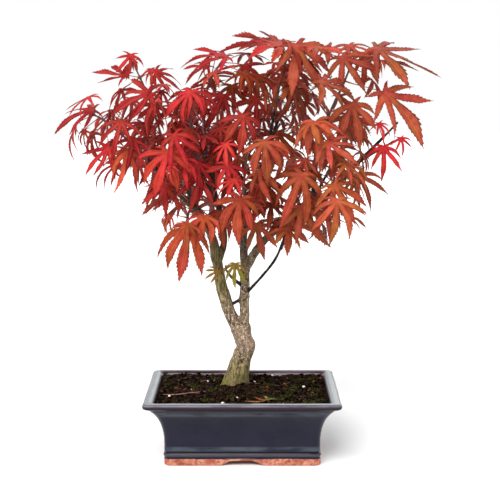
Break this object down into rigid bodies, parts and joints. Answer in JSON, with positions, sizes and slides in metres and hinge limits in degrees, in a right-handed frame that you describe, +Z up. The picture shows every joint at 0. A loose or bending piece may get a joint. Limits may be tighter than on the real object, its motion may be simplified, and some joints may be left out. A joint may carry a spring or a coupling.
{
  "type": "japanese maple bonsai",
  "caption": "Red-leaved Japanese maple bonsai with a bent, forked trunk and an airy spreading canopy, planted in a rectangular navy-glazed pot.",
  "frame": {"origin": "middle of the whole object's footprint, on the plane that the pot's foot stands on", "axes": "+Z up, +X to the right along the pot's long side, and the side seen in the picture faces -Y"},
  "size_m": [0.3686, 0.2378, 0.4157],
  "materials": {
    "glaze": "gloss",
    "screen": "matte",
    "soil": "matte",
    "bark": "matte",
    "leaf_crimson": "satin",
    "leaf_vermilion": "satin",
    "leaf_russet": "satin",
    "leaf_yellow_green": "satin"
  },
  "bodies": {
    "root": {"pot": "glaze", "drainage_screen_left": "screen", "drainage_screen_right": "screen", "soil": "soil", "trunk": "bark", "spray_far_left": "leaf_crimson", "spray_left_top": "leaf_crimson", "spray_left_front": "leaf_crimson", "spray_left_low": "leaf_vermilion", "spray_left_back": "leaf_crimson", "spray_left_middle": "leaf_crimson", "spray_top_left": "leaf_crimson", "spray_centre_back": "leaf_crimson", "spray_low_back": "leaf_vermilion", "spray_centre_front": "leaf_vermilion", "spray_top": "leaf_vermilion", "spray_top_back": "leaf_vermilion", "spray_back": "leaf_vermilion", "spray_top_right": "leaf_vermilion", "spray_right_front": "leaf_russet", "spray_right": "leaf_crimson", "spray_right_low": "leaf_russet", "spray_right_back": "leaf_russet", "spray_right_low_back": "leaf_russet", "spray_low_centre": "leaf_russet", "spray_stem": "leaf_yellow_green"}
  },
  "joints": []
}
